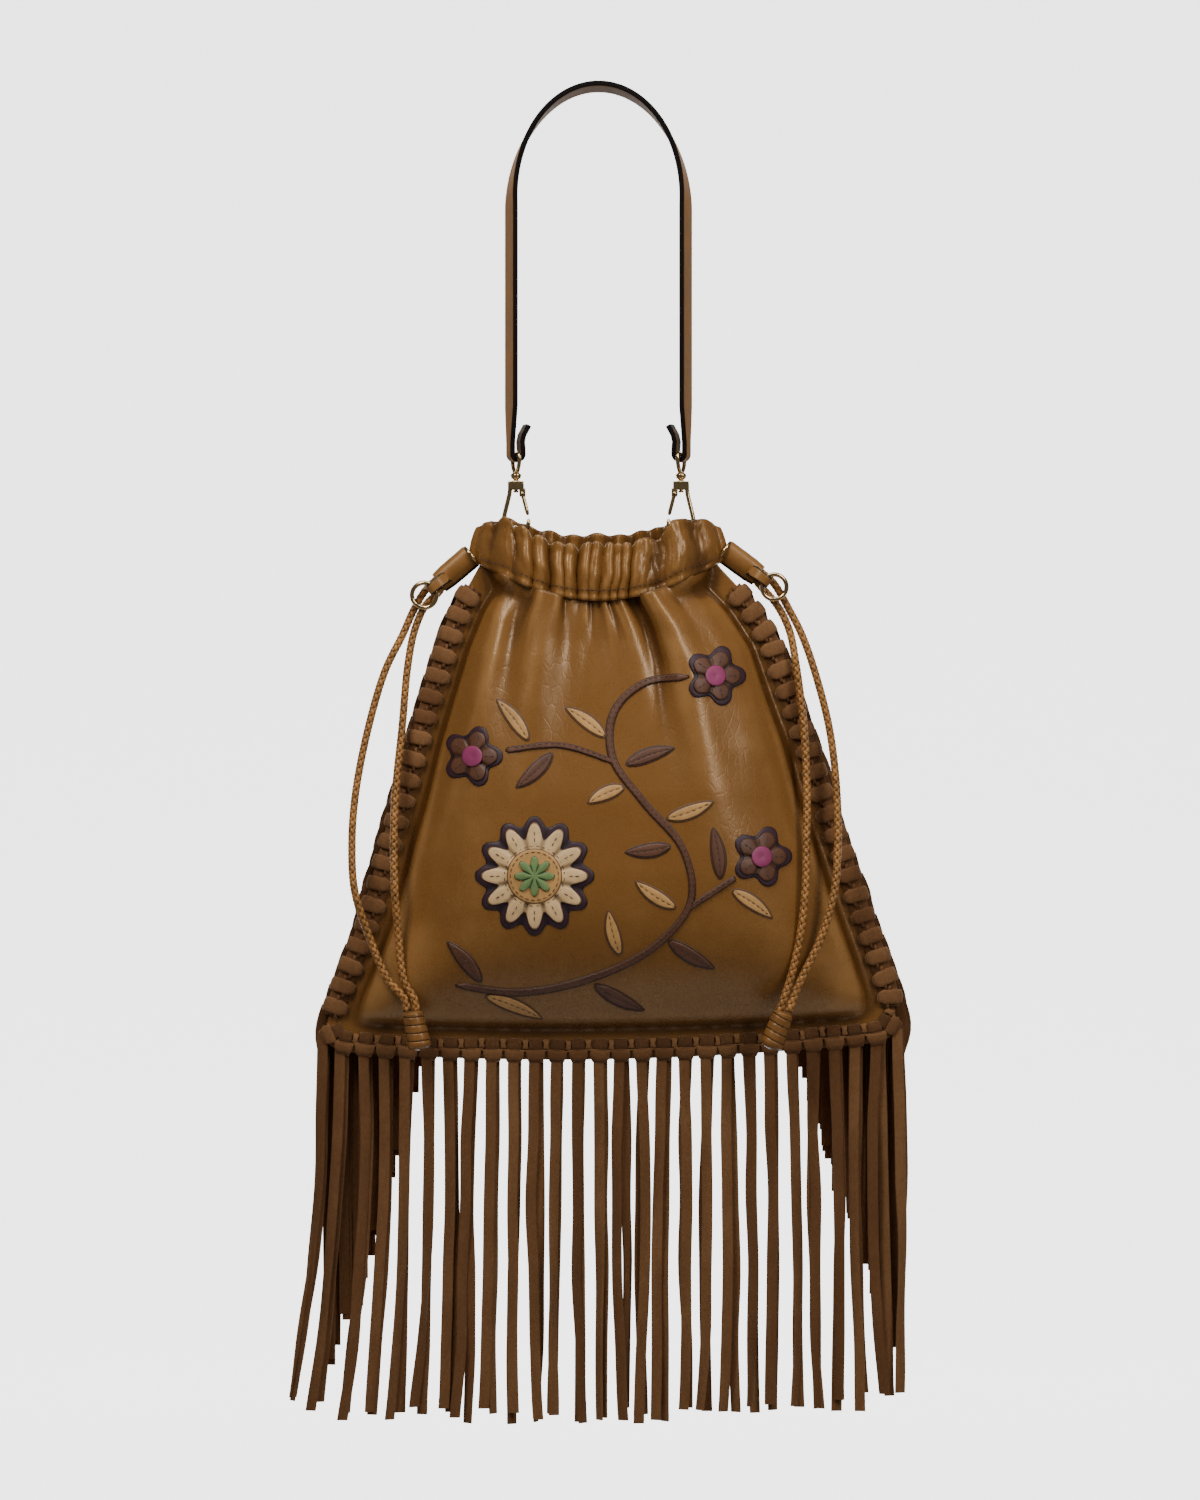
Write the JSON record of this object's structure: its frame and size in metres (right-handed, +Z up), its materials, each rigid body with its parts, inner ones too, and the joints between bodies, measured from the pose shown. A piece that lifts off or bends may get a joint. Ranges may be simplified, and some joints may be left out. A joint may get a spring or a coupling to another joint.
{
  "type": "fringed shoulder bag",
  "caption": "Soft leather drawstring shoulder bag with laced suede fringe, floral appliqué, braided drawstrings and a narrow strap on snap hooks.",
  "frame": {"origin": "under the top of the strap's arch, where the bag hangs", "axes": "+Z up, front panel faces -Y, +X to the viewer's right when facing the front"},
  "size_m": [0.326, 0.0866, 0.703],
  "materials": {
    "smooth_leather": "smooth caramel brown leather, soft gloss",
    "suede": "brown suede, matt nap",
    "strap_leather": "tan strap leather with dark painted edges",
    "braided_leather": "thin braided leather cord",
    "gold_metal": "polished pale gold plate",
    "cream_leather": "cream appliqué leather",
    "tan_leather": "pale tan appliqué leather",
    "brown_leather": "dark brown appliqué leather",
    "dark_leather": "aubergine appliqué leather",
    "pink_leather": "pink appliqué leather",
    "green_leather": "sage green appliqué leather"
  },
  "bodies": {
    "bag": {"front_panel": "smooth_leather", "back_panel": "smooth_leather", "casing": "smooth_leather", "bottom_fringe": "suede", "left_fringe": "suede", "right_fringe": "suede", "strap": "strap_leather", "left_swivel_eye": "gold_metal", "left_hanger_ring": "gold_metal", "left_eyelet": "gold_metal", "left_side_ring": "gold_metal", "left_hanger_loop": "smooth_leather", "left_cord_sleeve": "smooth_leather", "left_outer_cord": "braided_leather", "left_inner_cord": "braided_leather", "left_cord_end": "braided_leather", "right_swivel_eye": "gold_metal", "right_hanger_ring": "gold_metal", "right_eyelet": "gold_metal", "right_side_ring": "gold_metal", "right_hanger_loop": "smooth_leather", "right_cord_sleeve": "smooth_leather", "right_outer_cord": "braided_leather", "right_inner_cord": "braided_leather", "right_cord_end": "braided_leather", "vine": "brown_leather", "leaf_01": "brown_leather", "leaf_02": "tan_leather", "leaf_03": "brown_leather", "leaf_04": "tan_leather", "leaf_05": "brown_leather", "leaf_06": "tan_leather", "leaf_07": "brown_leather", "leaf_08": "tan_leather", "leaf_09": "tan_leather", "leaf_10": "brown_leather", "leaf_11": "tan_leather", "leaf_12": "brown_leather", "leaf_13": "tan_leather", "leaf_14": "brown_leather", "leaf_15": "tan_leather", "daisy_backing": "dark_leather", "daisy_petals": "cream_leather", "daisy_disc": "tan_leather", "daisy_star": "green_leather", "blossom_1_backing": "dark_leather", "blossom_1_petals": "brown_leather", "blossom_1_eye": "pink_leather", "blossom_2_backing": "dark_leather", "blossom_2_petals": "brown_leather", "blossom_2_eye": "pink_leather", "blossom_3_backing": "dark_leather", "blossom_3_petals": "brown_leather", "blossom_3_eye": "pink_leather"},
    "left_hook": {"left_hook": "gold_metal"},
    "left_gate": {"left_gate": "gold_metal"},
    "right_hook": {"right_hook": "gold_metal"},
    "right_gate": {"right_gate": "gold_metal"}
  },
  "joints": [
    {"name": "left_hook_swivel", "type": "hinge", "parent": "bag", "child": "left_hook", "pos_m": [-0.0432, 0, -0.2075], "axis": [0, 0, 1], "range_deg": [-25, 25]},
    {"name": "left_gate_hinge", "type": "hinge", "parent": "left_hook", "child": "left_gate", "pos_m": [-0.0398, 0, -0.2117], "axis": [0, 1, 0], "range_deg": [0, 22], "stiffness_Nm_per_rad": 0.01},
    {"name": "right_hook_swivel", "type": "hinge", "parent": "bag", "child": "right_hook", "pos_m": [0.0432, 0, -0.2075], "axis": [0, 0, 1], "range_deg": [-25, 25]},
    {"name": "right_gate_hinge", "type": "hinge", "parent": "right_hook", "child": "right_gate", "pos_m": [0.0398, 0, -0.2117], "axis": [0, -1, 0], "range_deg": [0, 22], "stiffness_Nm_per_rad": 0.01}
  ]
}
